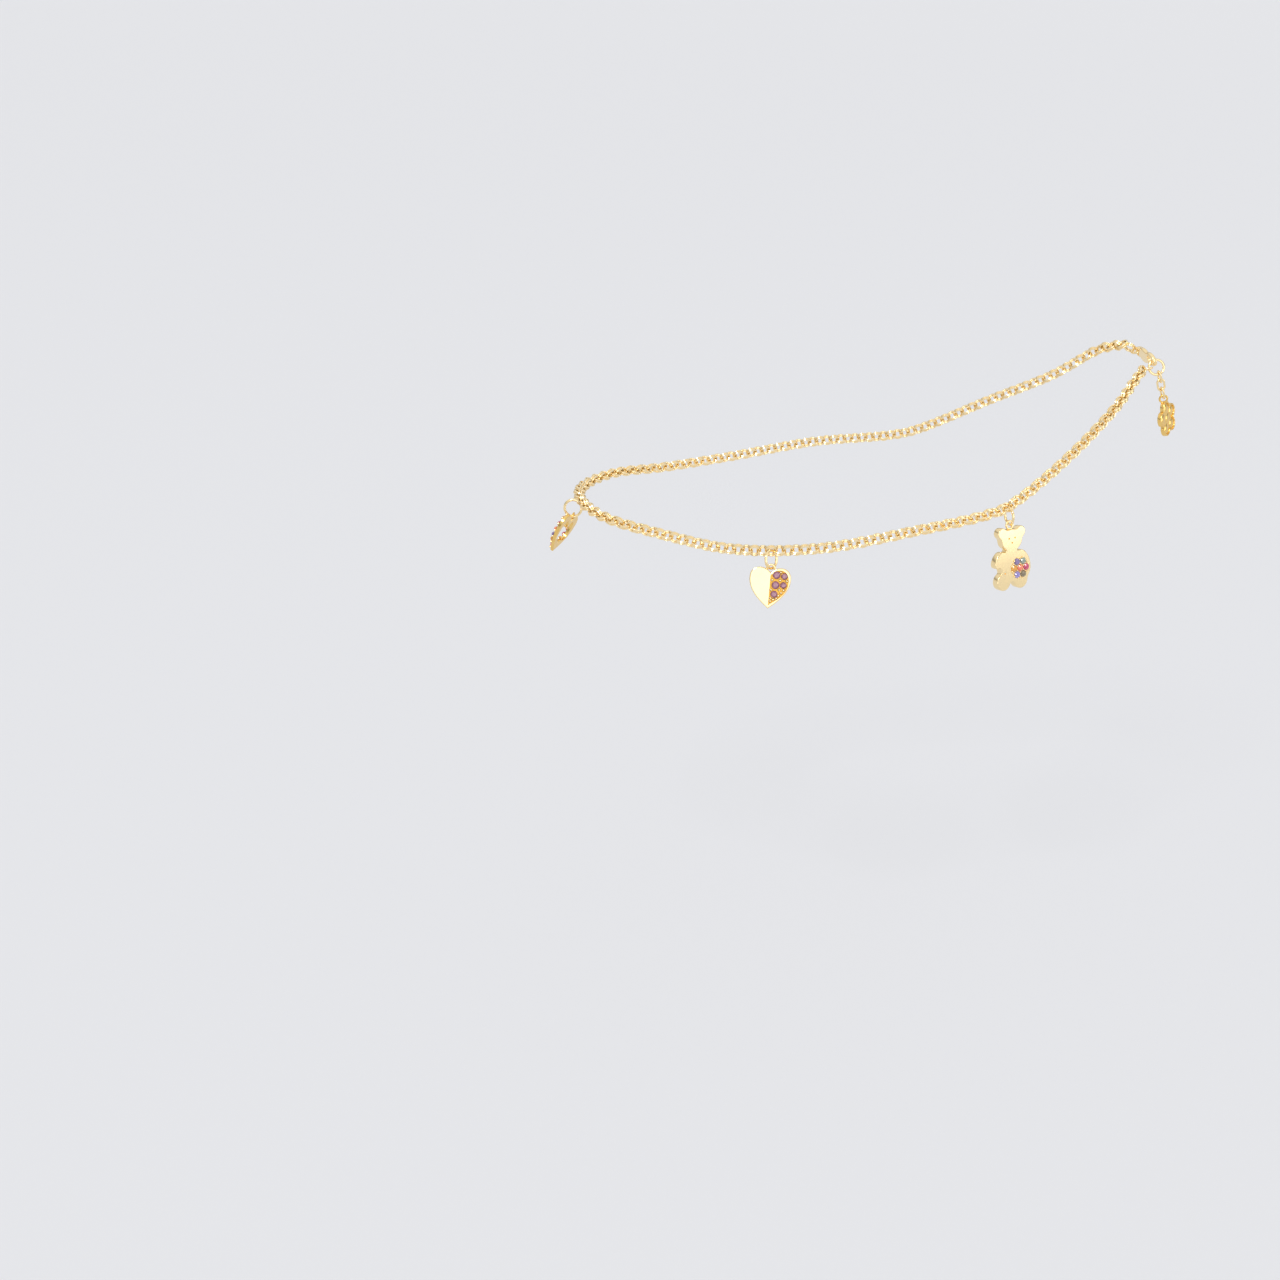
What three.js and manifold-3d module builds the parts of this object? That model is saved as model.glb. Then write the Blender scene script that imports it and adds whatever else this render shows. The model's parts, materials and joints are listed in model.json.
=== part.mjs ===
// Charm anklet: a fine double-link chain in its worn form, three charms on jump rings, and a short
// extender tail with a flower at the heel. Millimetres. +Z is up the leg, +X points to the heel,
// -X to the toes, and the origin is the middle of the ankle opening.
import * as THREE from 'three';
import { mergeVertices } from 'three/addons/utils/BufferGeometryUtils.js';
import Module from 'manifold-3d';

const wasm = await Module();
wasm.setup();

const GAP = 0.2;
const MERGE_DISTANCE = 1e-5;
const OVAL_SIDES = 20;

// A cutter this deep goes right through any of the plates, and one this wide covers any charm.
const THROUGH = 4;
const COVERING = 40;

// Chain: a tube round the ankle, a little wider along the skin than across it.
const CHAIN_WIDTH = 2.35;
const CHAIN_THICKNESS = 2.3;
const CHAIN_SIDES = 10;
const CHAIN_STEPS = 76;
const LINK_WIRE = 0.37;
const LINK_RADIUS = 0.9;

// The route runs from the heel end of the near side, round the front, to the far heel end.
const HALF_ROUTE = [
  { along: 40.7, side: 12.8, height: 10.4 },
  { along: 31.0, side: 18.4, height: 4.8 },
  { along: 20.5, side: 22.8, height: -0.8 },
  { along: 13.9, side: 24.9, height: -2.7 },
  { along: 0.0, side: 27.5, height: -3.8 },
  { along: -15.6, side: 27.4, height: -5.6 },
  { along: -29.6, side: 24.0, height: -5.9 },
  { along: -40.7, side: 17.6, height: -4.5 },
  { along: -47.9, side: 9.3, height: -3.9 },
];
const FRONT_POINT = { along: -50.2, side: 0, height: -3.5 };
const NEAR_END = [
  { along: 50.3, side: -4.2, height: 15.4 },
  { along: 47.0, side: -7.2, height: 13.8 },
];
const FAR_END = [
  { along: 47.4, side: 9.0, height: 15.6 },
  { along: 50.0, side: 3.4, height: 17.9 },
];

// The skin leans outward towards the toes: its tilt above level, in degrees, at the middle of the
// loop, and how much it changes from there to either end.
const SKIN_TILT = 14;
const SKIN_TILT_CHANGE = 12;
const LOOP_HALF_LENGTH = 50.4;

// Rings.
const RING_STEPS = 20;
const RING_SIDES = 8;
const LINK_GAP = 0.12;
const RING_WIRE = 0.45;
const JUMP_RING_RADIUS = 1.45;
const END_RING_RADIUS = 1.32;
const CLASP_RING_RADIUS = 0.95;

// Bail loops soldered to the charms.
const BAIL_RADIUS = 0.66;
const BAIL_WIRE = 0.36;

// Charms. Each hangs at a distance along the chain from the near heel end. Its jump ring's middle
// is below the chain's by drop and stands out from it by standoff. The ring leans in at the bottom
// and turns about its upright. The charm tilts in at the bottom, or out where tilt is below nothing,
// turns about its own upright and swings along the skin. Angles are in degrees.
const FRONT_HANG = {
  at: 123.2, drop: 1.65, standoff: 1.1, lean: 18, ringTurn: 20, tilt: -7, turn: -38, swing: 0,
};
const HEART_HANG = {
  at: 84.6, drop: 1.4, standoff: 0.45, lean: 0, ringTurn: 38, tilt: 0, turn: 0, swing: -4,
};
const BEAR_HANG = {
  at: 42.6, drop: 1.4, standoff: 0.45, lean: 0, ringTurn: 12, tilt: 0, turn: 0, swing: -1,
};

// A heart's outline: the notch's depth, the widest point and the handles of its curves, as shares
// of the height or of half the width. A heart set inside it draws its notch and tip in by more.
const HEART_CURVE = { dip: 0.16, widest: 0.3, inner: 0.25, lower: 0.33, tip: 0.13 };
const LOBE_RISE = { inner: 0.1, outer: 0.25 };
const HEART_INSET = { notch: 0.3, tip: 1.5 };
const HEART_SEGMENTS = 7;

const HEART = { width: 6.7, height: 6.9, thickness: 1.3, bevel: 0.2 };
const PAVE = { rim: 0.35, depth: 0.6, thickness: 0.5, gap: 0.3 };
const OPEN_HEART = { width: 7.0, height: 7.4, thickness: 0.6, rim: 1.2, bailTurn: 14 };
const OPEN_PAVE = { rim: 0.3, thickness: 0.5 };

// The bear is a plate of overlapping ovals, with a round seat for the flower of stones.
const BEAR_THICKNESS = 1.3;
const BEAR_LOBES = {
  head: { x: 0, y: -2.5, rx: 2.15, ry: 1.85, turn: 0 },
  earLeft: { x: -1.9, y: -1.25, rx: 0.95, ry: 0.95, turn: 0 },
  earRight: { x: 1.9, y: -1.25, rx: 0.95, ry: 0.95, turn: 0 },
  body: { x: 0, y: -6.8, rx: 2.4, ry: 2.8, turn: 0 },
  armLeft: { x: -2.5, y: -5.7, rx: 0.85, ry: 1.5, turn: -32 },
  armRight: { x: 2.5, y: -5.7, rx: 0.85, ry: 1.5, turn: 32 },
  legLeft: { x: -1.8, y: -9.45, rx: 1.4, ry: 1.45, turn: 0 },
  legRight: { x: 1.8, y: -9.45, rx: 1.4, ry: 1.45, turn: 0 },
};
const BEAR_FLOWER = { x: 1.6, y: -7.4, ring: 1.28, pocket: 0.55, border: 0.3 };
const BEAR_STONE = { radius: 0.55, height: 0.7, table: 0.33, sides: 10 };
const FLOWER = { petals: 5, reach: 1.9, petal: 1.35, middle: 1.3, thickness: 0.8, bailOverlap: 0.15 };
const FLOWER_STONE = { radius: 0.75, height: 0.6, table: 0.41, sides: 12 };

// The end ring stands out from the heel. What it holds sits round it at these angles, in degrees
// counterclockwise from the side away from the heel.
const END_RING = { along: 52.3, side: -4.6, height: 15.4, facing: -12, tilt: 22 };
const LAST_LINK_ANGLE = 192;
const CLASP_ANGLE = 118;
const CLASP_LIE = 114;
const TAIL_ANGLE = 292;

// Extender tail: flat-sided links, each turned a quarter from the last, down to the flower.
const TAIL_LINKS = 3;
const TAIL_LINK = { length: 2.4, width: 1.6, wire: 0.36 };
const TAIL_SLOPE = { along: 0.3, side: 0.04, height: -0.95 };
const FLOWER_FACING = 42;
const FLOWER_BAIL_TURN = 122;

// Clasp: a plain oval hook body with an eye, lying across the back of the heel.
const CLASP_THICKNESS = 0.7;
const CLASP_HOOK = { x: 0.65, y: 0.05, rx: 1.75, ry: 1.25 };
const CLASP_BODY = { x: 3.3, y: 0, rx: 1.9, ry: 1.4 };
const CLASP_OPENING = { x: 0.5, y: 0.05, rx: 1.1, ry: 0.88 };
const CLASP_EYE = { x: 5.6, y: 0, rx: 0.95, ry: 0.95 };
const CLASP_EYE_HOLE = { x: 5.6, y: 0, rx: 0.5, ry: 0.5 };
const CLASP_REACH = { along: 0.03, side: 0.99, height: 0.06 };

const GOLD = new THREE.MeshStandardMaterial({ color: 0xe3b34a, roughness: 0.22, metalness: 1 });
const GOLD_CHAIN = new THREE.MeshStandardMaterial({ color: 0xd9a941, roughness: 0.3, metalness: 1 });
const PAVE_PINK = new THREE.MeshStandardMaterial({ color: 0xb0708f, roughness: 0.1, metalness: 0 });
const FRONT_MIX = new THREE.MeshStandardMaterial({ color: 0xe58a4a, roughness: 0.1, metalness: 0 });
const BLUSH = new THREE.MeshStandardMaterial({ color: 0xe2a0a8, roughness: 0.1, metalness: 0 });
// The middle stone first, then the six round it.
const FLOWER_COLOURS = [0xf0987a, 0x9aa596, 0x8d79a6, 0xe0a321, 0x9d8fd0, 0x8a7d4f, 0xd42a6a];

const Z_AXIS = new THREE.Vector3(0, 0, 1);

/** The chain's centreline, whose cross-sections turn with the skin that it lies on. */
class AnkleRoute extends THREE.CatmullRomCurve3 {
  computeFrenetFrames(segments) {
    const frames = { tangents: [], normals: [], binormals: [] };
    for (let i = 0; i <= segments; i += 1) {
      const { tangent, outward } = this.skinAt(i / segments);
      frames.tangents.push(tangent);
      frames.normals.push(outward);
      frames.binormals.push(tangent.clone().cross(outward));
    }
    return frames;
  }

  /** The direction along the chain, and the one straight out of the skin, at a share of the length. */
  skinAt(share) {
    const tangent = this.getTangentAt(share);
    const level = tangent.clone().cross(Z_AXIS).setZ(0).normalize().negate();
    const middle = this.getPointAt(share).x / LOOP_HALF_LENGTH;
    const tilt = THREE.MathUtils.degToRad(SKIN_TILT - SKIN_TILT_CHANGE * middle);
    const raised = level.multiplyScalar(Math.cos(tilt)).addScaledVector(Z_AXIS, Math.sin(tilt));
    const outward = raised.addScaledVector(tangent, -raised.dot(tangent)).normalize();
    return { tangent, outward };
  }
}

function ankleRoute() {
  const near = HALF_ROUTE.map((row) => ({ ...row, side: -row.side }));
  const far = [...HALF_ROUTE].reverse();
  const rows = [...NEAR_END, ...near, FRONT_POINT, ...far, ...FAR_END];
  const points = rows.map((row) => new THREE.Vector3(row.along, row.side, row.height));
  return new AnkleRoute(points, false, 'catmullrom');
}

/** A closed solid for joining and cutting, from a closed geometry. */
function solidOf(geometry) {
  const bare = geometry.clone();
  bare.deleteAttribute('normal');
  bare.deleteAttribute('uv');
  const merged = mergeVertices(bare, MERGE_DISTANCE);
  const vertProperties = new Float32Array(merged.attributes.position.array);
  const triVerts = new Uint32Array(merged.index.array);
  return new wasm.Manifold(new wasm.Mesh({ numProp: 3, vertProperties, triVerts }));
}

function geometryOf(solid) {
  const mesh = solid.getMesh();
  const geometry = new THREE.BufferGeometry();
  geometry.setAttribute('position', new THREE.BufferAttribute(mesh.vertProperties, 3));
  geometry.setIndex(new THREE.BufferAttribute(mesh.triVerts, 1));
  geometry.computeVertexNormals();
  return geometry;
}

function joined(geometries) {
  return geometryOf(geometries.map(solidOf).reduce((whole, piece) => whole.add(piece)));
}

function cut(geometry, tools) {
  return geometryOf(tools.map(solidOf).reduce((whole, tool) => whole.subtract(tool), solidOf(geometry)));
}

function named(name, geometry, material) {
  const mesh = new THREE.Mesh(geometry, material.clone());
  mesh.name = name;
  return mesh;
}

/** A matrix that stands a piece's own axes on three directions at a point. */
function placed(point, right, up, outward) {
  return new THREE.Matrix4().makeBasis(right, up, outward).setPosition(point);
}

function ovalPoints(rx, ry, sides = OVAL_SIDES) {
  const points = [];
  for (let i = 0; i < sides; i += 1) {
    const angle = (2 * Math.PI * (i + 0.5)) / sides;
    points.push(new THREE.Vector2(rx * Math.cos(angle), ry * Math.sin(angle)));
  }
  return points;
}

function ovalPlate({ x, y, rx, ry, turn = 0 }, thickness) {
  const shape = new THREE.Shape(ovalPoints(rx, ry));
  const geometry = new THREE.ExtrudeGeometry(shape, { depth: thickness, bevelEnabled: false });
  return geometry.rotateZ(THREE.MathUtils.degToRad(turn)).translate(x, y, 0);
}

/** A stone with a flat table, its face towards +Z and its middle at the origin. */
function stoneGeometry({ radius, height, table, sides }) {
  return new THREE.CylinderGeometry(table, radius, height, sides).rotateX(Math.PI / 2);
}

function ringGeometry(radius, wire) {
  return new THREE.TorusGeometry(radius, wire / 2, RING_SIDES, RING_STEPS);
}

function passage(radius, wire) {
  return ringGeometry(radius, wire + 2 * GAP);
}

/** A bail loop standing on a charm's top edge, with its hole at the charm's own origin. */
function bail(thickness, turn = 0) {
  const loop = ringGeometry(BAIL_RADIUS, BAIL_WIRE).rotateY(THREE.MathUtils.degToRad(turn));
  return loop.translate(0, 0, thickness / 2);
}

function heartShape(width, height, inset = 0) {
  const half = width / 2 - inset;
  const dip = height * HEART_CURVE.dip;
  const top = dip - BAIL_RADIUS - inset;
  const notch = top - dip - inset * HEART_INSET.notch;
  const low = dip - BAIL_RADIUS - height + inset * HEART_INSET.tip;
  const shoulder = top - height * HEART_CURVE.widest;
  const hip = shoulder - height * HEART_CURVE.lower;
  const toe = low + height * HEART_CURVE.tip;
  const inner = half * HEART_CURVE.inner;
  const lower = half * HEART_CURVE.lower;
  const shape = new THREE.Shape();
  shape.moveTo(0, notch);
  shape.bezierCurveTo(inner, top + LOBE_RISE.inner, half, top + LOBE_RISE.outer, half, shoulder);
  shape.bezierCurveTo(half, hip, lower, toe, 0, low);
  shape.bezierCurveTo(-lower, toe, -half, hip, -half, shoulder);
  shape.bezierCurveTo(-half, top + LOBE_RISE.outer, -inner, top + LOBE_RISE.inner, 0, notch);
  return shape;
}

function plate(shape, thickness, bevel = 0) {
  return new THREE.ExtrudeGeometry(shape, {
    depth: thickness - 2 * bevel,
    curveSegments: HEART_SEGMENTS,
    bevelEnabled: bevel > 0,
    bevelThickness: bevel,
    bevelSize: bevel,
    bevelOffset: -bevel,
    bevelSegments: 1,
  }).translate(0, 0, bevel);
}

/** The half of a heart plate to the right of its middle, as a cutting or filling slab. */
function rightHalf(shape, from, thickness, margin) {
  const block = new THREE.BoxGeometry(COVERING, COVERING, COVERING);
  block.translate(margin - COVERING / 2, 0, 0);
  return cut(plate(shape, thickness).translate(0, 0, from), [block]);
}

/** A plate of this shape that reaches past both faces of whatever it cuts. */
function punch(shape) {
  return plate(shape, THROUGH).translate(0, 0, -THROUGH / 2);
}

function heartCharm() {
  const { width, height, thickness, bevel } = HEART;
  const field = rightHalf(heartShape(width, height, PAVE.rim), thickness - PAVE.depth, THROUGH, 0);
  const body = cut(plate(heartShape(width, height), thickness, bevel), [field]);
  const stones = heartShape(width, height, PAVE.rim + PAVE.gap);
  const paving = rightHalf(stones, thickness - PAVE.depth + GAP, PAVE.thickness, GAP);
  return [
    named('charm_heart', joined([body, bail(thickness)]), GOLD),
    named('heart_paving', paving, PAVE_PINK),
  ];
}

function openHeartCharm() {
  const { width, height, thickness, rim, bailTurn } = OPEN_HEART;
  const opening = punch(heartShape(width, height, rim));
  const frame = cut(plate(heartShape(width, height), thickness), [opening]);
  const wider = punch(heartShape(width, height, rim - OPEN_PAVE.rim));
  const paving = cut(plate(heartShape(width, height, OPEN_PAVE.rim), OPEN_PAVE.thickness), [wider]);
  paving.translate(0, 0, thickness + GAP);
  return [
    named('charm_front', joined([frame, bail(thickness, bailTurn)]), GOLD),
    named('front_paving', paving, FRONT_MIX),
  ];
}

function bearFlowerStones() {
  const { x, y, ring, pocket } = BEAR_FLOWER;
  const middle = BEAR_THICKNESS - pocket + GAP + BEAR_STONE.height / 2;
  return FLOWER_COLOURS.map((colour, i) => {
    const angle = (2 * Math.PI * i) / (FLOWER_COLOURS.length - 1);
    const reach = i === 0 ? 0 : ring;
    const geometry = stoneGeometry(BEAR_STONE);
    geometry.translate(x + reach * Math.cos(angle), y + reach * Math.sin(angle), middle);
    const material = new THREE.MeshStandardMaterial({ color: colour, roughness: 0.1, metalness: 0 });
    return named(`bear_flower_${i + 1}`, geometry, material);
  });
}

function bearCharm() {
  const lobes = Object.values(BEAR_LOBES).map((lobe) => ovalPlate(lobe, BEAR_THICKNESS));
  const { x, y, ring, pocket, border } = BEAR_FLOWER;
  const reach = ring + BEAR_STONE.radius + GAP;
  const seat = ovalPlate({ x, y, rx: reach, ry: reach }, THROUGH);
  seat.translate(0, 0, BEAR_THICKNESS - pocket);
  const backing = ovalPlate({ x, y, rx: reach + border, ry: reach + border }, BEAR_THICKNESS);
  const body = cut(joined([...lobes, backing]), [seat]);
  return [
    named('charm_bear', joined([body, bail(BEAR_THICKNESS)]), GOLD),
    ...bearFlowerStones(),
  ];
}

function flowerCharm() {
  const { petals, reach, petal, thickness, bailOverlap } = FLOWER;
  const middle = bailOverlap - BAIL_RADIUS - petal - reach;
  const lobes = [ovalPlate({ x: 0, y: middle, rx: FLOWER.middle, ry: FLOWER.middle }, thickness)];
  for (let i = 0; i < petals; i += 1) {
    const angle = Math.PI / 2 + (2 * Math.PI * i) / petals;
    const place = { x: reach * Math.cos(angle), y: middle + reach * Math.sin(angle) };
    lobes.push(ovalPlate({ ...place, rx: petal, ry: petal }, thickness));
  }
  const stone = stoneGeometry(FLOWER_STONE);
  stone.translate(0, middle, thickness + GAP + FLOWER_STONE.height / 2);
  return [
    named('charm_flower', joined([...lobes, bail(thickness, FLOWER_BAIL_TURN)]), GOLD),
    named('flower_stone', stone, BLUSH),
  ];
}

/** A group whose pieces stand where the matrix says. */
function stood(pieces, matrix) {
  const group = new THREE.Group();
  group.add(...pieces);
  group.applyMatrix4(matrix);
  return group;
}

/** A jump ring through the chain, and its charm hanging from it against the skin. */
function hang(route, ringName, pieces, thickness, place) {
  const { drop, standoff, ringTurn, tilt, turn, swing } = place;
  const lean = THREE.MathUtils.degToRad(place.lean);
  const share = place.at / route.getLength();
  const { outward } = route.skinAt(share);
  const up = Z_AXIS.clone().addScaledVector(outward, -outward.z).normalize();
  const centre = route.getPointAt(share).addScaledVector(up, -drop);
  centre.addScaledVector(outward, standoff);
  const frame = placed(centre, up.clone().cross(outward), up, outward);
  frame.multiply(new THREE.Matrix4().makeRotationX(lean));
  const turned = new THREE.Matrix4().makeRotationY(THREE.MathUtils.degToRad(90 - ringTurn));
  const ringPlace = frame.clone().multiply(turned);
  const ring = stood([named(ringName, ringGeometry(JUMP_RING_RADIUS, RING_WIRE), GOLD)], ringPlace);

  const below = JUMP_RING_RADIUS + BAIL_RADIUS - (RING_WIRE + BAIL_WIRE) / 2 - GAP;
  const angles = [tilt - place.lean, turn, swing].map(THREE.MathUtils.degToRad);
  const swung = new THREE.Matrix4().makeRotationFromEuler(new THREE.Euler(...angles));
  swung.setPosition(0, -below, 0);
  const backed = new THREE.Matrix4().makeTranslation(0, 0, -thickness / 2);
  const charm = stood(pieces, frame.clone().multiply(swung).multiply(backed));
  return { ring, charm, ringPlace };
}

/** A link with straight sides: half a ring at each end, its length along Y. */
function linkGeometry({ length, width, wire }) {
  const geometry = ringGeometry((width - wire) / 2, wire).rotateZ(Math.PI / RING_STEPS);
  const { position } = geometry.attributes;
  for (let i = 0; i < position.count; i += 1) {
    const y = position.getY(i);
    position.setY(i, y + (Math.sign(y) * (length - width)) / 2);
  }
  return geometry;
}

function direction(row) {
  return new THREE.Vector3(row.along, row.side, row.height).normalize();
}

/** The end ring's own axes: right is away from the heel, up is up the leg, outward is its axis. */
function endRingAxes() {
  const { along, side, height, facing, tilt } = END_RING;
  const turn = THREE.MathUtils.degToRad(facing);
  const lift = THREE.MathUtils.degToRad(tilt);
  const level = Math.cos(lift);
  const outward = new THREE.Vector3(level * Math.sin(turn), -level * Math.cos(turn), Math.sin(lift));
  const right = Z_AXIS.clone().cross(outward).normalize();
  const up = outward.clone().cross(right);
  return { centre: new THREE.Vector3(along, side, height), right, up, outward };
}

function endRingPlace({ centre, right, up, outward }) {
  return placed(centre, right, up, outward);
}

/** The way out from the end ring's middle at an angle round it. */
function spoke({ right, up }, degrees) {
  const angle = THREE.MathUtils.degToRad(degrees);
  return right.clone().multiplyScalar(Math.cos(angle)).addScaledVector(up, Math.sin(angle));
}

/** The chain's last link, through the end ring and the end of the chain. */
function lastLinkPlace(axes) {
  const out = spoke(axes, LAST_LINK_ANGLE);
  const across = axes.outward.clone().cross(out);
  const inside = END_RING_RADIUS - (RING_WIRE + LINK_WIRE) / 2 - LINK_GAP;
  const centre = axes.centre.clone().addScaledVector(out, inside + LINK_RADIUS);
  return placed(centre, out, axes.outward, across.negate());
}

function claspPlace(axes) {
  const out = spoke(axes, CLASP_ANGLE);
  const hooked = axes.centre.clone().addScaledVector(out, END_RING_RADIUS);
  const reach = direction(CLASP_REACH);
  const across = spoke(axes, CLASP_LIE);
  across.addScaledVector(reach, -across.dot(reach)).normalize();
  return placed(hooked, reach, across, reach.clone().cross(across));
}

function claspGeometry() {
  const ovals = [CLASP_HOOK, CLASP_BODY, CLASP_EYE].map((row) => ovalPlate(row, CLASP_THICKNESS));
  const openings = [CLASP_OPENING, CLASP_EYE_HOLE].map((row) => ovalPlate(row, THROUGH));
  openings.forEach((opening) => opening.translate(0, 0, -THROUGH / 2));
  return cut(joined(ovals), openings).translate(0, 0, -CLASP_THICKNESS / 2);
}

/** The ring between the clasp's eye and the far end of the chain. */
function claspRingPlace(clasp) {
  const beyond = new THREE.Matrix4().makeTranslation(CLASP_EYE.x + CLASP_RING_RADIUS, 0, 0);
  return clasp.clone().multiply(beyond).multiply(new THREE.Matrix4().makeRotationX(Math.PI / 2));
}

/** The tail's links and flower, hanging from the end ring. */
function tail(axes) {
  const down = direction(TAIL_SLOPE);
  const { length, wire } = TAIL_LINK;
  const out = spoke(axes, TAIL_ANGLE);
  const top = axes.centre.clone().addScaledVector(out, END_RING_RADIUS);
  top.addScaledVector(down, -(RING_WIRE + wire) / 2 - LINK_GAP);
  const pitch = length - 2 * wire - LINK_GAP;
  const sideways = spoke(axes, TAIL_ANGLE + 90);
  sideways.addScaledVector(down, -sideways.dot(down)).normalize();
  const facing = sideways.clone().cross(down);
  const pieces = [];
  for (let i = 0; i < TAIL_LINKS; i += 1) {
    const centre = top.clone().addScaledVector(down, (length - wire) / 2 + i * pitch);
    const right = i % 2 === 0 ? facing : sideways;
    const outward = right.clone().cross(down);
    const link = named(`tail_link_${i + 1}`, linkGeometry(TAIL_LINK), GOLD);
    pieces.push(stood([link], placed(centre, right, down, outward)));
  }
  const bailTop = length - wire + (TAIL_LINKS - 1) * pitch - (wire + BAIL_WIRE) / 2 - LINK_GAP;
  const hole = top.clone().addScaledVector(down, bailTop + BAIL_RADIUS);
  const turn = THREE.MathUtils.degToRad(FLOWER_FACING);
  const face = new THREE.Vector3(-Math.sin(turn), Math.cos(turn), 0);
  face.addScaledVector(down, -face.dot(down)).normalize();
  const up = down.clone().negate();
  hole.addScaledVector(face, -FLOWER.thickness / 2);
  return [...pieces, stood(flowerCharm(), placed(hole, up.clone().cross(face), up, face))];
}

const route = ankleRoute();
const hung = [
  hang(route, 'jump_ring_front', openHeartCharm(), OPEN_HEART.thickness, FRONT_HANG),
  hang(route, 'jump_ring_heart', heartCharm(), HEART.thickness, HEART_HANG),
  hang(route, 'jump_ring_bear', bearCharm(), BEAR_THICKNESS, BEAR_HANG),
];
const axes = endRingAxes();
const lastLink = named('last_link', ringGeometry(LINK_RADIUS, LINK_WIRE), GOLD_CHAIN);
const endRing = named('end_ring', ringGeometry(END_RING_RADIUS, RING_WIRE), GOLD);
const clasp = named('clasp', claspGeometry(), GOLD);
const claspRing = named('clasp_ring', ringGeometry(CLASP_RING_RADIUS, RING_WIRE), GOLD);

const section = new THREE.Shape(ovalPoints(CHAIN_THICKNESS / 2, CHAIN_WIDTH / 2, CHAIN_SIDES));
const tube = new THREE.ExtrudeGeometry(section, { steps: CHAIN_STEPS, extrudePath: route });
const passages = [
  ...hung.map(({ ringPlace }) => passage(JUMP_RING_RADIUS, RING_WIRE).applyMatrix4(ringPlace)),
  passage(LINK_RADIUS, LINK_WIRE).applyMatrix4(lastLinkPlace(axes)),
  passage(END_RING_RADIUS, RING_WIRE).applyMatrix4(endRingPlace(axes)),
  passage(CLASP_RING_RADIUS, RING_WIRE).applyMatrix4(claspRingPlace(claspPlace(axes))),
];
const chain = named('chain', cut(tube, passages), GOLD_CHAIN);

const anklet = new THREE.Group();
anklet.add(
  chain,
  ...hung.flatMap(({ ring, charm }) => [ring, charm]),
  stood([lastLink], lastLinkPlace(axes)),
  stood([endRing], endRingPlace(axes)),
  stood([clasp], claspPlace(axes)),
  stood([claspRing], claspRingPlace(claspPlace(axes))),
  ...tail(axes),
);

export default anklet;
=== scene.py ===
import json
import math

import bpy
from mathutils import Matrix, Vector

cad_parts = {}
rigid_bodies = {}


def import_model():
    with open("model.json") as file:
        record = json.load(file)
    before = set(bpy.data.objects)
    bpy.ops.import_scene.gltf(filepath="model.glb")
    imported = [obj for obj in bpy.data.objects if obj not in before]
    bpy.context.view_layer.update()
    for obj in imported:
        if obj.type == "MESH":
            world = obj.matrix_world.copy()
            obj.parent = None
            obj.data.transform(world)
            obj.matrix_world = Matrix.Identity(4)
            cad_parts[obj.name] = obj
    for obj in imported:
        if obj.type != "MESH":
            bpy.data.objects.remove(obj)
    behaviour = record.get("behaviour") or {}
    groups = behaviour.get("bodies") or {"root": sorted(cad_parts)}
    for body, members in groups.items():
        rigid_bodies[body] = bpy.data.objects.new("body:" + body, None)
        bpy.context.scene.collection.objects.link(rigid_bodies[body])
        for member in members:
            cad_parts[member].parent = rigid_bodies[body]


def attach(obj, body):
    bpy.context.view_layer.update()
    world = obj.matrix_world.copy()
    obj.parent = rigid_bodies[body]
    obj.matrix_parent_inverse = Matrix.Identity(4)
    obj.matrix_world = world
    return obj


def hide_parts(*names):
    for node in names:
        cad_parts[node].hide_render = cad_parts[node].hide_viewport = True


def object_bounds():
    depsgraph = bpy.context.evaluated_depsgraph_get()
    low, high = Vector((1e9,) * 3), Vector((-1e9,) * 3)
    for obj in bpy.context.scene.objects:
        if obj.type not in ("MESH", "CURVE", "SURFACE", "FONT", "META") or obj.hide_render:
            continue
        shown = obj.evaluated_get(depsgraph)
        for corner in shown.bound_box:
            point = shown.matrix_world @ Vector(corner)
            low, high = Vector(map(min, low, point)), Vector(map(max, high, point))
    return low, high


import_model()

# Lengths below are in millimetres, as in the CAD part, and become metres when a mesh is made.
MM = 0.001
CAD_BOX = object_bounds()
UP = Vector((0, 0, 1))

# ---------------------------------------------------------------------------------------------
# The CAD part's own sizes, repeated

GAP = 0.2
LINK_WIRE = 0.37
LINK_RADIUS = 0.9
# Rows of x, y and z
HALF_ROUTE = [
    (40.7, 12.8, 10.4), (31.0, 18.4, 4.8), (20.5, 22.8, -0.8), (13.9, 24.9, -2.7),
    (0.0, 27.5, -3.8), (-15.6, 27.4, -5.6), (-29.6, 24.0, -5.9), (-40.7, 17.6, -4.5),
    (-47.9, 9.3, -3.9),
]
FRONT_POINT = (-50.2, 0.0, -3.5)
NEAR_END = [(50.3, -4.2, 15.4), (47.0, -7.2, 13.8)]
FAR_END = [(47.4, 9.0, 15.6), (50.0, 3.4, 17.9)]
SKIN_TILT = 14
SKIN_TILT_CHANGE = 12
LOOP_HALF_LENGTH = 50.4
LINK_GAP = 0.12
RING_WIRE = 0.45
JUMP_RING_RADIUS = 1.45
END_RING_RADIUS = 1.32
CLASP_RING_RADIUS = 0.95
BAIL_RADIUS = 0.66
BAIL_WIRE = 0.36
FRONT_HANG = {"at": 123.2, "drop": 1.65, "standoff": 1.1, "lean": 18, "ring_turn": 20, "tilt": -7,
              "turn": -38, "swing": 0}
HEART_HANG = {"at": 84.6, "drop": 1.4, "standoff": 0.45, "lean": 0, "ring_turn": 38, "tilt": 0,
              "turn": 0, "swing": -4}
BEAR_HANG = {"at": 42.6, "drop": 1.4, "standoff": 0.45, "lean": 0, "ring_turn": 12, "tilt": 0,
             "turn": 0, "swing": -1}
HEART_WIDTH, HEART_HEIGHT, HEART_THICK, HEART_RIM = 6.7, 6.9, 1.3, 0.35
OPEN_WIDTH, OPEN_HEIGHT, OPEN_THICK, OPEN_RIM, OPEN_BAIL_TURN = 7.0, 7.4, 0.6, 1.2, 14
BEAR_THICK = 1.3
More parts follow.
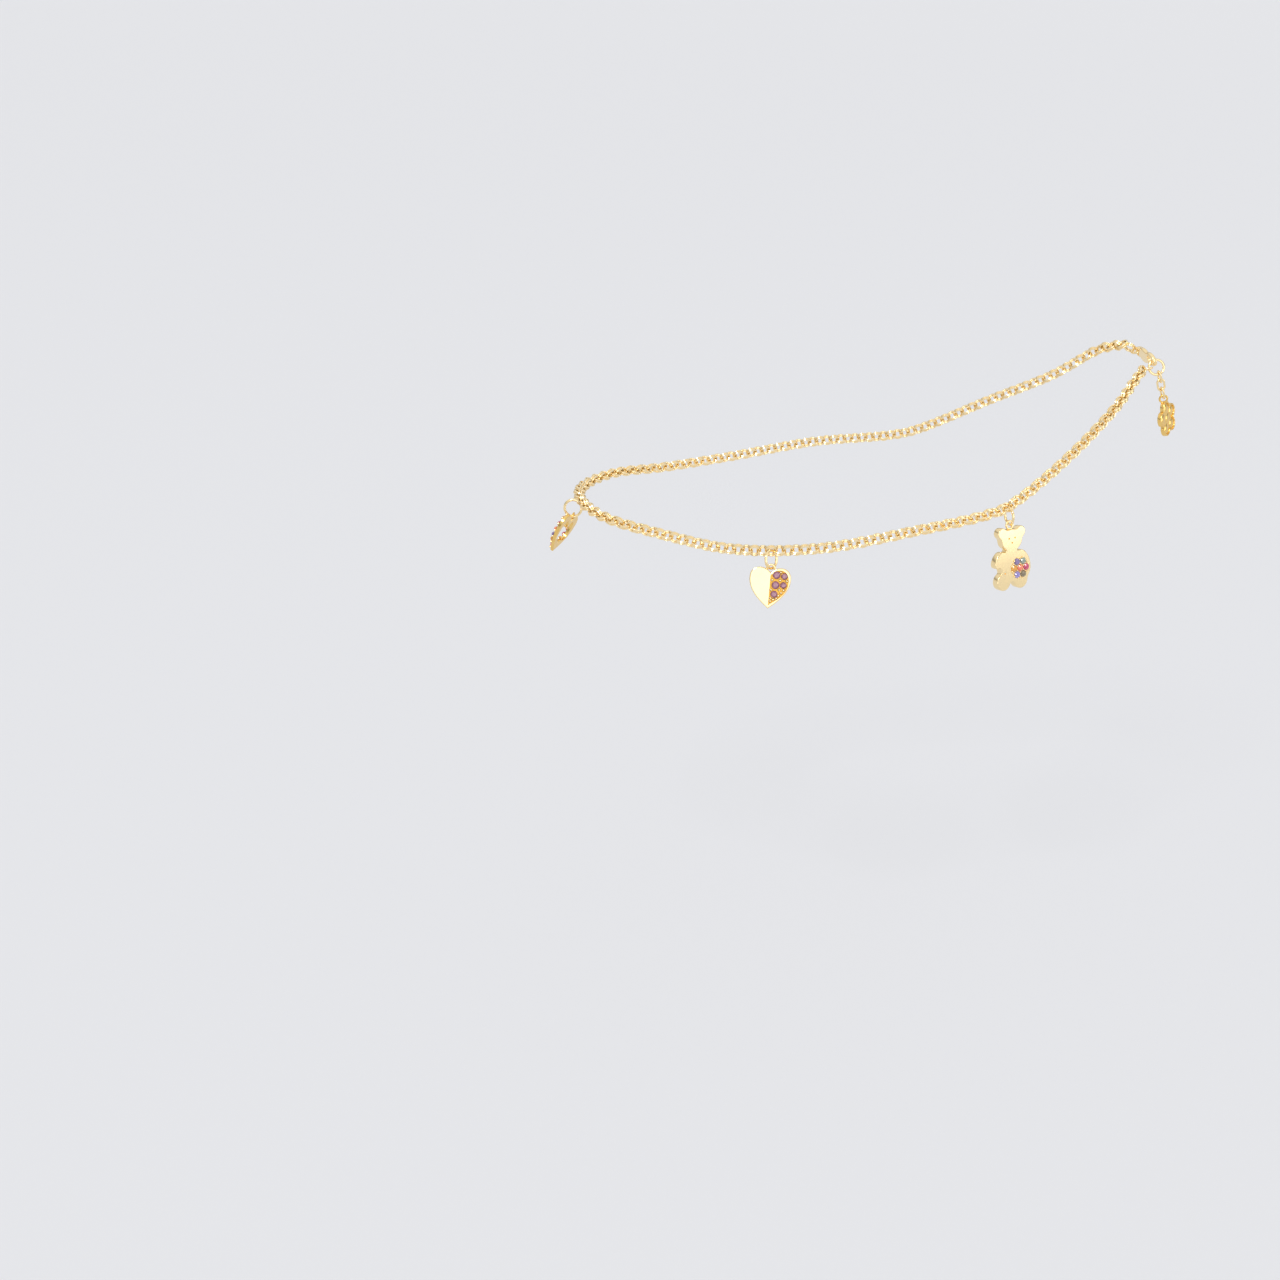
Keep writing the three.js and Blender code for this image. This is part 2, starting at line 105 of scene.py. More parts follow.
# Rows of x, y, two half widths and a turn in degrees, as for every list of ovals
BEAR_LOBES = [
    (0, -2.5, 2.15, 1.85, 0), (-1.9, -1.25, 0.95, 0.95, 0), (1.9, -1.25, 0.95, 0.95, 0),
    (0, -6.8, 2.4, 2.8, 0), (-2.5, -5.7, 0.85, 1.5, -32), (2.5, -5.7, 0.85, 1.5, 32),
    (-1.8, -9.45, 1.4, 1.45, 0), (1.8, -9.45, 1.4, 1.45, 0), (1.6, -7.4, 2.33, 2.33, 0),
]
BEAR_FLOWER = Vector((1.6, -7.4))
BEAR_FLOWER_RING = 1.28
BEAR_STONE = 0.55
PETALS, PETAL_REACH, PETAL, FLOWER_MIDDLE, FLOWER_THICK = 5, 1.9, 1.35, 1.3, 0.8
FLOWER_CENTRE = 0.15 - BAIL_RADIUS - PETAL - PETAL_REACH
END_RING = (52.3, -4.6, 15.4)
END_RING_FACING, END_RING_TILT = -12, 22
LAST_LINK_ANGLE, CLASP_ANGLE, CLASP_LIE, TAIL_ANGLE = 192, 118, 114, 292
TAIL_LINKS = 3
TAIL_LENGTH, TAIL_WIDTH, TAIL_WIRE = 2.4, 1.6, 0.36
TAIL_SLOPE = (0.3, 0.04, -0.95)
FLOWER_FACING, FLOWER_BAIL_TURN = 42, 122
CLASP_THICK = 0.7
CLASP_OVALS = [(0.65, 0.05, 1.75, 1.25, 0), (3.3, 0, 1.9, 1.4, 0), (5.6, 0, 0.95, 0.95, 0)]
CLASP_HOLES = [(0.5, 0.05, 1.1, 0.88, 0), (5.6, 0, 0.5, 0.5, 0)]
CLASP_EYE = 5.6
CLASP_REACH = (0.03, 0.99, 0.06)

# ---------------------------------------------------------------------------------------------
# Sizes of the detail that the CAD part leaves out

# The chain's links stand in pairs, side by side. Pairs lie by turns at one roll and the other.
PAIR_PITCH = 1.36
PAIR_WIRE = 0.34
PAIR_ROLLS = (-45, 45)
PAIR_SPREAD = 0.18
LINK_AROUND, LINK_SIDES = 28, 9
LINK_SLACK = 0.05

# The chain's twist. On the near side it grows a degree for each millimetre past a place.
NEAR_TWIST_FROM = -8
FAR_TWIST, FAR_TWIST_SPAN = 62, 3
TURNOVER_WIDTH = 12

# Where each bent ring's seam is, in degrees, and how wide it stands open
JUMP_RING_SEAM, END_RING_SEAM, CLASP_RING_SEAM, SEAM_OPENING = 70, 250, 60, 2.0

# The heart's recess, its stones (x, y, radius) and the beads between them (x, y)
HEART_EDGE, HEART_RECESS = 0.16, 0.4
HEART_STONE_DEPTH, HEART_STONE_SINK = 0.28, 0.12
HEART_STONES = [(1.0, -0.98, 0.62), (2.26, -1.08, 0.54), (0.95, -2.58, 0.64), (2.2, -2.52, 0.54),
                (0.82, -4.08, 0.58)]
HEART_BEAD, HEART_BEAD_SINK = 0.24, 0.22
HEART_BEADS = [(0.3, -0.78), (1.64, -0.45), (1.62, -1.76), (0.3, -1.8), (2.7, -1.8), (1.58, -3.3),
               (0.28, -3.4), (2.3, -3.3), (1.95, -3.78), (1.52, -4.25), (0.28, -4.75),
               (1.22, -4.72), (0.76, -4.94), (0.28, -5.26)]

# The open heart's channel, its stones and the beads on its two edges
OPEN_EDGE, OPEN_CHANNEL = 0.1, 0.12
OPEN_STONES, OPEN_STONE, OPEN_CROWN, OPEN_PAVILION, OPEN_STONE_LIFT = 17, 0.44, 0.28, 0.32, 0.12
OPEN_BEAD, OPEN_BEAD_LIFT, OPEN_BEAD_SHARES = 0.19, 0.08, (0.1, 0.9)

# The bear's eyes, nose and hip dot (x, y, radius), and how its stones and prongs stand
BEAR_EDGE = 0.15
BEAR_DRILLS = [(-0.62, -2.2, 0.17), (0.62, -2.15, 0.17), (0.02, -2.95, 0.15), (-1.55, -8.0, 0.14)]
DRILL_DEPTH, DRILL_WALL, DRILL_TAPER = 0.4, 0.2, 0.1
BEAR_STONE_SPREAD, BEAR_STONE_DEPTH, BEAR_STONE_LIFT = 0.05, 0.3, 0.04
# Each outer stone's prongs: how far from the flower's middle, and degrees from the stone
PRONG_PLACES = ((0.72, 30), (1.62, 30), (1.78, 14), (1.78, -14))
PRONG, PRONG_LIFT = 0.16, 0.08

# The clasp's rounded edges, and the chamfer at the mouths of its two holes
CLASP_EDGE = 0.22
CHAMFER, CHAMFER_START, CHAMFER_END = 0.1, 0.02, 0.12

# The flower's edge (how far in, how high), its domes, and the cup and stone at its middle
FLOWER_PROFILE = [(0.36, 0.28), (0.3, 0.04), (0.22, 0), (0.1, 0.01), (0.03, 0.06), (0, 0.14),
                  (0, 0.66), (0.03, 0.74), (0.1, 0.79), (0.22, 0.8), (0.3, 0.76), (0.36, 0.52)]
DOME_RADIUS, DOME_FLATNESS = 1.0, 0.36
CUP_RADIUS, CUP_WIRE, CUP_SINK = 0.72, 0.26, 0.02
FLOWER_STONE, FLOWER_CROWN, FLOWER_PAVILION, FLOWER_STONE_LIFT = 0.72, 0.42, 0.4, 0.12

# How far below the part the floor lies and how far it reaches, in metres
FLOOR_DROP, FLOOR_REACH = 0.075, 12.0

# Lights: the way the sun comes from, and each panel's place and size in metres, power in watts
SUN_FROM, SUN_STRENGTH, SUN_WIDTH = (-0.5, -0.6, 0.9), 0.7, 16
PANELS = {"front": ((-0.2, -1.1, 0.25), 1.1, 3.4), "side": ((0.95, -0.62, 0.1), 0.8, 2.0)}
SKY_STRENGTH = 0.95

# The camera's place in millimetres, its angles in degrees and its lens
CAMERA_PLACE = (-103.36, -290.32, 89.49)
CAMERA_AZIMUTH, CAMERA_ELEVATION = -12.33, 21.96
CAMERA_LENS, CAMERA_SENSOR, CAMERA_NEAR = 50.625, 36.0, 0.01


# ---------------------------------------------------------------------------------------------
# Materials

# Noise in the finishes: repeats in a metre, and the marks' depth in metres
CLOUD_SCALE = 900.0
MARK_SCALE = 2600.0
MARK_DEPTH = 0.00002
# The stones' patches of painted facet light and shade: repeats in a metre
FACET_LIGHT_SCALE = 3200.0
# The colour sockets of a Mix node: two inputs and the output
MIX_LIGHT, MIX_DEEP, MIX_RESULT = 6, 7, 2


def linear(colour):
    """A 0xRRGGBB screen colour as linear red, green, blue and full alpha."""
    parts = [((colour >> shift) & 255) / 255 for shift in (16, 8, 0)]
    return [p / 12.92 if p <= 0.04045 else ((p + 0.055) / 1.055) ** 2.4 for p in parts] + [1.0]


def shader_of(name):
    """A new material with its node tree and its shader."""
    material = bpy.data.materials.new(name)
    material.use_nodes = True
    return material, material.node_tree, material.node_tree.nodes["Principled BSDF"]


def link_colours(tree, shader, share, light, deep):
    """Gives the shader a base colour that runs from light to deep by a node's output."""
    mix = tree.nodes.new("ShaderNodeMix")
    mix.data_type = "RGBA"
    mix.inputs[MIX_LIGHT].default_value = linear(light)
    mix.inputs[MIX_DEEP].default_value = linear(deep)
    tree.links.new(share, mix.inputs[0])
    tree.links.new(mix.outputs[MIX_RESULT], shader.inputs["Base Color"])


def gold(name, light, deep, rough, grain):
    """Polished plate: a little colour change and fine polishing marks over the surface."""
    material, tree, shader = shader_of(name)
    shader.inputs["Metallic"].default_value = 1.0
    place = tree.nodes.new("ShaderNodeTexCoord")
    cloud = tree.nodes.new("ShaderNodeTexNoise")
    cloud.inputs["Scale"].default_value = CLOUD_SCALE
    cloud.inputs["Detail"].default_value = 3.0
    tree.links.new(place.outputs["Object"], cloud.inputs["Vector"])
    link_colours(tree, shader, cloud.outputs["Fac"], light, deep)
    ramp = tree.nodes.new("ShaderNodeMapRange")
    ramp.inputs["To Min"].default_value = rough * 0.7
    ramp.inputs["To Max"].default_value = rough * 1.3
    tree.links.new(cloud.outputs["Fac"], ramp.inputs["Value"])
    tree.links.new(ramp.outputs["Result"], shader.inputs["Roughness"])
    marks = tree.nodes.new("ShaderNodeTexNoise")
    marks.inputs["Scale"].default_value = MARK_SCALE
    tree.links.new(place.outputs["Object"], marks.inputs["Vector"])
    bump = tree.nodes.new("ShaderNodeBump")
    bump.inputs["Strength"].default_value = grain
    bump.inputs["Distance"].default_value = MARK_DEPTH
    tree.links.new(marks.outputs["Fac"], bump.inputs["Height"])
    tree.links.new(bump.outputs["Normal"], shader.inputs["Normal"])
    return material


def stone(name, light, deep):
    """A cut stone: pale and deep patches of one colour, painted light and shade like that of the facets
    under its table.
    """
    material, tree, shader = shader_of(name)
    shader.inputs["Roughness"].default_value = 0.06
    shader.inputs["IOR"].default_value = 1.9
    shader.inputs["Coat Weight"].default_value = 0.6
    shader.inputs["Coat Roughness"].default_value = 0.03
    place = tree.nodes.new("ShaderNodeTexCoord")
    painted_facet_light = tree.nodes.new("ShaderNodeTexVoronoi")
    painted_facet_light.inputs["Scale"].default_value = FACET_LIGHT_SCALE
    tree.links.new(place.outputs["Object"], painted_facet_light.inputs["Vector"])
    link_colours(tree, shader, painted_facet_light.outputs["Distance"], light, deep)
    return material


GOLD = gold("polished_gold", 0xFFE9B8, 0xFDE2AA, 0.1, 0.05)
CHAIN_GOLD = gold("chain_gold", 0xFFECC2, 0xFDE3AE, 0.12, 0.1)
# The heart's recessed bed: rougher and more marked, and darker gold as painted shade in the recess
SHADED_BED_GOLD = gold("bed_gold_painted_shade", 0xE2B45A, 0xBC8A34, 0.3, 0.5)
DEEP_GOLD = gold("deep_gold", 0xFCDC92, 0xEBBE64, 0.14, 0.3)
# Each stone's pale and deep colours are painted light and shade in its facets
MAUVE = stone("mauve_stone", 0xB8788C, 0x6E3250)
PEACH = stone("peach_stone", 0xFA9E78, 0xE05E34)
SAGE = stone("sage_stone", 0xA8B4A4, 0x62756A)
VIOLET = stone("violet_stone", 0x9A86B8, 0x4E3678)
AMBER = stone("amber_stone", 0xF0B02C, 0xC07804)
LAVENDER = stone("lavender_stone", 0xB0A4DE, 0x6858B0)
OLIVE = stone("olive_stone", 0x9C8E62, 0x5C4A38)
RUBY = stone("ruby_stone", 0xE04A78, 0xA00C44)
BLUSH = stone("blush_stone", 0xEDBDC0, 0xC9808A)
FLOWER_STONES = [
    (PEACH, "stone_peach"), (SAGE, "stone_sage"), (VIOLET, "stone_violet"), (AMBER, "stone_amber"),
    (LAVENDER, "stone_lavender"), (OLIVE, "stone_olive"), (RUBY, "stone_ruby"),
]


# ---------------------------------------------------------------------------------------------
# Meshes

# Edges sharper than this many degrees stay sharp, and faces this straight on stay flat
SHARP_ANGLE = 32
STRAIGHT_ON = 0.9999
# A cut stone's table and middle row as shares of its radius, and the row's share of the crown
TABLE_SHARE, MIDDLE_SHARE, MIDDLE_HEIGHT = 0.56, 0.82, 0.6


class Shell:
    """Points and faces gathered for one mesh, each face with a material's number."""

    def __init__(self):
        self.points = []
        self.faces = []
        self.slots = []

    def add(self, points, faces, matrix=None, slot=0):
        start = len(self.points)
        self.points += [matrix @ p for p in points] if matrix else points
        self.faces += [[start + i for i in face] for face in faces]
        self.slots += [slot] * len(faces)
        return self

    def made(self, name, materials, matrix=None, flat=False):
        """The mesh as an object, moved by a matrix and shaded about the matrix's Z."""
        points = [(matrix @ p if matrix else p) * MM for p in self.points]
        mesh = bpy.data.meshes.new(name)
        mesh.from_pydata(points, [], self.faces)
        for material in materials:
            mesh.materials.append(material)
        mesh.polygons.foreach_set("material_index", self.slots)
        mesh.validate()
        piece = bpy.data.objects.new(name, mesh)
        bpy.context.collection.objects.link(piece)
        shade(piece, flat, (matrix.col[2].to_3d() if matrix else UP).normalized())
        return piece


def shade(piece, flat=False, facing=UP):
    """Smooth but for sharp edges and for the faces that look straight along facing."""
    mesh = piece.data
    if not flat:
        mesh.set_sharp_from_angle(angle=math.radians(SHARP_ANGLE))
    smooth = [not flat and abs(face.normal.dot(facing)) < STRAIGHT_ON for face in mesh.polygons]
    mesh.polygons.foreach_set("use_smooth", smooth)


def loop_faces(rings, sides, closed):
    """Quads between rings of points that follow each other, and back to the first if closed."""
    faces = []
    for i in range(rings if closed else rings - 1):
        low, high = i * sides, ((i + 1) % rings) * sides
        for j in range(sides):
            k = (j + 1) % sides
            faces.append([low + j, high + j, high + k, low + k])
    return faces


def torus(radius, wire, around=48, sides=14, opening=0.0, start=0.0):
    """A wire ring about Z. Its seam is open by some degrees from a start angle."""
    points = []
    sweep = 360.0 - opening
    steps = around if opening == 0 else around + 1
    for i in range(steps):
        turn = math.radians(start + opening + sweep * i / around)
        for j in range(sides):
            roll = 2 * math.pi * j / sides
            reach = radius + wire / 2 * math.cos(roll)
            points.append(Vector((reach * math.cos(turn), reach * math.sin(turn),
                                  wire / 2 * math.sin(roll))))
    faces = loop_faces(steps, sides, opening == 0)
    if opening:
        faces.append(list(range(sides)))
        faces.append(list(reversed(range((steps - 1) * sides, steps * sides))))
    return points, faces


def ball(centre, radius, around=10, rows=6):
    """A sphere of points in rows from its top to its bottom."""
    points = [centre + Vector((0, 0, radius))]
    for i in range(1, rows):
        tilt = math.pi * i / rows
        for j in range(around):
            turn = 2 * math.pi * j / around
            points.append(centre + radius * Vector((
                math.sin(tilt) * math.cos(turn), math.sin(tilt) * math.sin(turn), math.cos(tilt))))
    points.append(centre - Vector((0, 0, radius)))
    last = len(points) - 1
    faces = [[0, 1 + j, 1 + (j + 1) % around] for j in range(around)]
    for i in range(rows - 2):
        low = 1 + i * around
        for j in range(around):
            k = (j + 1) % around
            faces.append([low + j, low + around + j, low + around + k, low + k])
    low = 1 + (rows - 2) * around
    faces += [[low + j, last, low + (j + 1) % around] for j in range(around)]
    return points, faces


def gem(radius, crown, pavilion, sides=8):
    """A round cut stone with its table towards +Z and its girdle at the origin's height."""
    step = 2 * math.pi / sides

    def at(share, turn, height):
        return Vector((radius * share * math.cos(turn), radius * share * math.sin(turn), height))

    table = [at(TABLE_SHARE, step * i, crown) for i in range(sides)]
    middle = [at(MIDDLE_SHARE, step * (i + 0.5), crown * MIDDLE_HEIGHT) for i in range(sides)]
    girdle = [at(1.0, step * i / 2, 0) for i in range(2 * sides)]
    points = table + middle + girdle + [Vector((0, 0, -pavilion))]
    faces = [list(range(sides))]
    for i in range(sides):
        after = (i + 1) % sides
        m, m_before = sides + i, sides + (i - 1) % sides
        g = 2 * sides + 2 * i
        g_last = 2 * sides + (2 * i + 2) % (2 * sides)
        faces += [[i, m, after], [i, m_before, g, m], [m, g, g + 1], [m, g + 1, g_last]]
        faces += [[g, len(points) - 1, g + 1], [g + 1, len(points) - 1, g_last]]
    return points, faces


def ellipse(x, y, across, upward, half):
    """An oval outline of twice this many points, counterclockwise."""
    angles = [math.pi * k / half for k in range(2 * half)]
    return [Vector((x + across * math.cos(angle), y + upward * math.sin(angle))) for angle in angles]


def outward_normals(outline):
    """The outward direction at each point of a counterclockwise outline."""
    normals = []
    for i, point in enumerate(outline):
        along = (outline[(i + 1) % len(outline)] - outline[i - 1]).normalized()
        normals.append(Vector((along.y, -along.x)))
    return normals


def plate(outline, profile):
    """A plate with this outline. Each row of the profile is how far in and how high it runs."""
    normals = outward_normals(outline)
    points = []
    for inset, height in profile:
        points += [Vector((*(p - n * inset), height)) for p, n in zip(outline, normals)]
    count = len(outline)
    faces = []
    for i in range(len(profile) - 1):
        low = i * count
        for j in range(count):
            k = (j + 1) % count
            faces.append([low + j, low + k, low + count + k, low + count + j])
    faces.append(list(reversed(range(count))))
    faces.append(list(range((len(profile) - 1) * count, len(profile) * count)))
    return points, faces


def edged(thickness, edge):
    """The profile of a plate whose edges are rounded over."""
    rows = []
    for i in range(5):
        angle = math.pi / 2 * i / 4
        rows.append((edge * (1 - math.sin(angle)), edge * (1 - math.cos(angle))))
    return rows + [(inset, thickness - height) for inset, height in reversed(rows)]


def oval_distance(point, oval):
    """Roughly how far a point is outside an oval, and less than nothing inside it."""
    x, y, rx, ry, turn = oval
    angle = math.radians(turn)
    dx, dy = point.x - x, point.y - y
    u = dx * math.cos(angle) + dy * math.sin(angle)
    v = dy * math.cos(angle) - dx * math.sin(angle)
    share = math.hypot(u / rx, v / ry)
    slope = math.hypot(u / rx ** 2, v / ry ** 2)
    return -min(rx, ry) if slope < 1e-9 else share * (share - 1) / slope


def merged_distance(point, ovals, fillet):
    """The distance to ovals that run into each other with small fillets."""
    total = oval_distance(point, ovals[0])
    for oval in ovals[1:]:
        other = oval_distance(point, oval)
        blend = max(fillet - abs(total - other), 0) / fillet
        total = min(total, other) - blend * blend * fillet / 4
    return total


def traced(ovals, fillet, step):
    """The outline round ovals that run into each other, counterclockwise."""
    small = 1e-4

    def slope(p):
        here = merged_distance(p, ovals, fillet)
        dx = merged_distance(p + Vector((small, 0)), ovals, fillet) - here
        dy = merged_distance(p + Vector((0, small)), ovals, fillet) - here
        return here, Vector((dx, dy)) / small

    def settled(p):
        for _ in range(4):
            here, rise = slope(p)
            p = p - rise * here / max(rise.length_squared, 1e-6)
        return p

    lowest = min(ovals, key=lambda oval: oval[1] - oval[3])
    first = settled(Vector((lowest[0], lowest[1] - lowest[3])))
    outline = [first]
    while len(outline) < 4000:
        rise = slope(outline[-1])[1].normalized()
        following = settled(outline[-1] + Vector((-rise.y, rise.x)) * step)
        if len(outline) > 10 and (following - first).length < step * 0.7:
            break
        outline.append(following)
    return outline


def heart_outline(width, height, inset=0.0, steps=26):
    """The CAD hearts' outline, counterclockwise from the notch."""
    half = width / 2 - inset
    dip = height * 0.16
    top = dip - BAIL_RADIUS - inset
    notch = top - dip - inset * 0.3
    low = dip - BAIL_RADIUS - height + inset * 1.5
    shoulder = top - height * 0.3
    hip = shoulder - height * 0.33
    toe = low + height * 0.13
    inner, lower = half * 0.25, half * 0.33
    curves = [
        ((0, notch), (-inner, top + 0.1), (-half, top + 0.25), (-half, shoulder)),
        ((-half, shoulder), (-half, hip), (-lower, toe), (0, low)),
        ((0, low), (lower, toe), (half, hip), (half, shoulder)),
        ((half, shoulder), (half, top + 0.25), (inner, top + 0.1), (0, notch)),
    ]
    outline = []
    for a, b, c, d in curves:
        for i in range(steps):
            t = i / steps
            u = 1 - t
            weights = (u ** 3, 3 * u * u * t, 3 * u * t * t, t ** 3)
            outline.append(sum((Vector(p) * w for p, w in zip((a, b, c, d), weights)),
                               Vector((0, 0))))
    return outline


def carved(piece, cutters):
    """The piece less its cutters, which are then removed."""
    for cutter in cutters:
        cut = piece.modifiers.new("cut", "BOOLEAN")
        cut.operation = "DIFFERENCE"
        cut.solver = "EXACT"
        cut.material_mode = "TRANSFER"
        cut.object = cutter
    bpy.context.view_layer.update()
    whole = piece.evaluated_get(bpy.context.evaluated_depsgraph_get())
    mesh = bpy.data.meshes.new_from_object(whole)
    piece.modifiers.clear()
    piece.data = mesh
    for cutter in cutters:
        bpy.data.objects.remove(cutter)
    shade(piece)
    return piece


def stood(piece, matrix):
    """The piece with its mesh moved by a matrix that is in millimetres."""
    piece.data.transform(Matrix.Scale(MM, 4) @ matrix @ Matrix.Scale(1 / MM, 4))
    return piece


def kept(piece, slot, *nodes):
    """Sets the piece on the part's body and hides the CAD nodes it stands for. Its slot is not used."""
    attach(piece, "root")
    if nodes:
        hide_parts(*nodes)
    return piece


# ---------------------------------------------------------------------------------------------
# The chain's route

def placed(point, right, up, outward):
    """The matrix that sets X, Y and Z along right, up and outward at a point."""
    matrix = Matrix((right, up, outward)).transposed().to_4x4()
    matrix.translation = point
    return matrix


class Route:
    """The chain's centreline, read by distance from its heel end on the near side."""

    def __init__(self, rows, divisions=200):
        self.rows = [Vector(row) for row in rows]
        self.divisions = divisions
        self.lengths = [0.0]
        before = self.at_share(0)
        for i in range(1, divisions + 1):
            here = self.at_share(i / divisions)
            self.lengths.append(self.lengths[-1] + (here - before).length)
            before = here
        self.length = self.lengths[-1]

    def at_share(self, share):
        """The point at a share of the rows, on a smooth curve through all of them."""
        last = len(self.rows) - 1
        i = min(int(share * last), last - 1)
        t = share * last - i
        p1, p2 = self.rows[i], self.rows[i + 1]
        p0 = self.rows[i - 1] if i > 0 else p1 * 2 - p2
        p3 = self.rows[i + 2] if i + 2 <= last else p2 * 2 - p1
        v1, v2 = (p2 - p0) / 2, (p3 - p1) / 2
        square, cube = (p2 - p1) * 3 - v1 * 2 - v2, (p1 - p2) * 2 + v1 + v2
        return p1 + v1 * t + square * t ** 2 + cube * t ** 3

    def point(self, distance):
        """The point this far along the chain."""
        distance = min(max(distance, 0.0), self.length)
        low = 0
        while low < self.divisions - 1 and self.lengths[low + 1] < distance:
            low += 1
        span = self.lengths[low + 1] - self.lengths[low]
        return self.at_share((low + (distance - self.lengths[low]) / span) / self.divisions)

    def skin(self, distance):
        """The direction along the chain, and the one straight out of the skin."""
        ahead, behind = self.point(distance + 0.05), self.point(distance - 0.05)
        tangent = (ahead - behind).normalized()
        level = -tangent.cross(UP)
        level.z = 0
        level.normalize()
        share = self.point(distance).x / LOOP_HALF_LENGTH
        tilt = math.radians(SKIN_TILT - SKIN_TILT_CHANGE * share)
        raised = level * math.cos(tilt) + UP * math.sin(tilt)
        return tangent, (raised - tangent * raised.dot(tangent)).normalized()

    def nearest(self, point, low, high):
        """The place between low and high that is nearest to a point."""
        steps = [low + (high - low) * i / 400 for i in range(401)]
        return min(steps, key=lambda distance: (self.point(distance) - point).length)

    def spaced_from(self, point, space):
        """The place near the far end that is this far from a point."""
        steps = [self.length - 8 + i * 0.02 for i in range(401)]
        return min(steps, key=lambda stop: abs((self.point(stop) - point).length - space))


NEAR = [(x, -y, z) for x, y, z in HALF_ROUTE]
ROUTE = Route([*NEAR_END, *NEAR, FRONT_POINT, *reversed(HALF_ROUTE), *FAR_END])


def ring_frame(hang):
    """The frame at a jump ring's middle, upright along the skin and then leaned in."""
    outward = ROUTE.skin(hang["at"])[1]
    up = (UP - outward * outward.z).normalized()
    centre = ROUTE.point(hang["at"]) - up * hang["drop"] + outward * hang["standoff"]
    frame_here = placed(centre, up.cross(outward), up, outward)
    return frame_here @ Matrix.Rotation(math.radians(hang["lean"]), 4, "X")


def ring_place(hang):
    """Where a jump ring lies: its hole looks along the chain, but for its turn."""
    turn = math.radians(90 - hang["ring_turn"])
    return ring_frame(hang) @ Matrix.Rotation(turn, 4, "Y")


def charm_place(hang, thickness):
    """The frame at the back of a charm that hangs from a jump ring, under its bail's middle."""
    below = JUMP_RING_RADIUS + BAIL_RADIUS - (RING_WIRE + BAIL_WIRE) / 2 - GAP
    swung = Matrix.Rotation(math.radians(hang["tilt"] - hang["lean"]), 4, "X")
    swung @= Matrix.Rotation(math.radians(hang["turn"]), 4, "Y")
    swung @= Matrix.Rotation(math.radians(hang["swing"]), 4, "Z")
    lowered = Matrix.Translation((0, -below, 0)) @ swung
    return ring_frame(hang) @ lowered @ Matrix.Translation((0, 0, -thickness / 2))


# ---------------------------------------------------------------------------------------------
# The heel end's places

def heel_axes():
    """The end ring's middle, and its right, up and outward directions."""
    turn, lift = math.radians(END_RING_FACING), math.radians(END_RING_TILT)
    level = math.cos(lift)
    outward = Vector((level * math.sin(turn), -level * math.cos(turn), math.sin(lift)))
    right = UP.cross(outward).normalized()
    return Vector(END_RING), right, outward.cross(right), outward


HEEL, HEEL_RIGHT, HEEL_UP, HEEL_OUT = heel_axes()


def spoke(degrees):
    """The direction from the end ring's middle at an angle from its right."""
    angle = math.radians(degrees)
    return HEEL_RIGHT * math.cos(angle) + HEEL_UP * math.sin(angle)


def last_link_place():
    out = spoke(LAST_LINK_ANGLE)
    inside = END_RING_RADIUS - (RING_WIRE + LINK_WIRE) / 2 - LINK_GAP
    centre = HEEL + out * (inside + LINK_RADIUS)
    return placed(centre, out, HEEL_OUT, -HEEL_OUT.cross(out))


def clasp_place():
    hooked = HEEL + spoke(CLASP_ANGLE) * END_RING_RADIUS
    reach = Vector(CLASP_REACH).normalized()
    across = spoke(CLASP_LIE)
    across = (across - reach * across.dot(reach)).normalized()
    return placed(hooked, reach, across, reach.cross(across))


def clasp_ring_place():
    beyond = Matrix.Translation((CLASP_EYE + CLASP_RING_RADIUS, 0, 0))
    return clasp_place() @ beyond @ Matrix.Rotation(math.pi / 2, 4, "X")


# ---------------------------------------------------------------------------------------------
# Pieces

def even_stops(low, high):
    """Places from low up to, but not at, high, no further apart than the links' pitch."""
    count = math.ceil((high - low) / PAIR_PITCH)
    return [low + (high - low) * i / count for i in range(count)]


def chain_twist(point):
    """How far the links have turned about the chain, in degrees.

    The near and far sides have a twist each, and one runs into the other where the chain crosses
    from side to side.
    """
    near = max(0.0, point.x - NEAR_TWIST_FROM)
    far = FAR_TWIST + point.x / FAR_TWIST_SPAN
    share = min(max(point.y / TURNOVER_WIDTH + 0.5, 0.0), 1.0)
    return near + (far - near) * share


def make_chain():
    """Pairs of round links, each pair about a quarter turn from the last."""
    hooked = LINK_RADIUS * 2 - LINK_WIRE - LINK_SLACK
    first = ROUTE.nearest(last_link_place().translation, 0, 6) + hooked
    far_ring = clasp_ring_place().translation
    last = ROUTE.spaced_from(far_ring, 2 * PAIR_PITCH)
    anchors = [first, BEAR_HANG["at"], HEART_HANG["at"], FRONT_HANG["at"], last]
    stops = [stop for low, high in zip(anchors, anchors[1:]) for stop in even_stops(low, high)]
    pairs = [(ROUTE.point(stop), *ROUTE.skin(stop)) for stop in [*stops, last]]
    end = pairs[-1][0]
    reach = (far_ring - end).normalized()
    outward = pairs[-1][2]
    outward = (outward - reach * outward.dot(reach)).normalized()
    pairs.append(((end + far_ring) / 2, reach, outward))
    points, faces = torus(LINK_RADIUS, PAIR_WIRE, LINK_AROUND, LINK_SIDES)
    shell = Shell()
    for i, (middle, tangent, outward) in enumerate(pairs):
        across = outward.cross(tangent)
        roll = math.radians(PAIR_ROLLS[i % 2] + chain_twist(middle))
        lie = across * math.cos(roll) + outward * math.sin(roll)
        axis = tangent.cross(lie)
        for side in (-1, 1):
            centre = middle + axis * (PAIR_SPREAD * side)
            shell.add(points, faces, placed(centre, tangent, lie, axis))
    return kept(shell.made("chain_links", [CHAIN_GOLD]), "chain_gold", "chain")


def make_ring(name, node, radius, place, seam):
    """A bent wire ring with a fine seam where its ends meet."""
    shell = Shell().add(*torus(radius, RING_WIRE, 60, 16, SEAM_OPENING, seam))
    return kept(shell.made(name, [GOLD], place), "polished_gold", node)


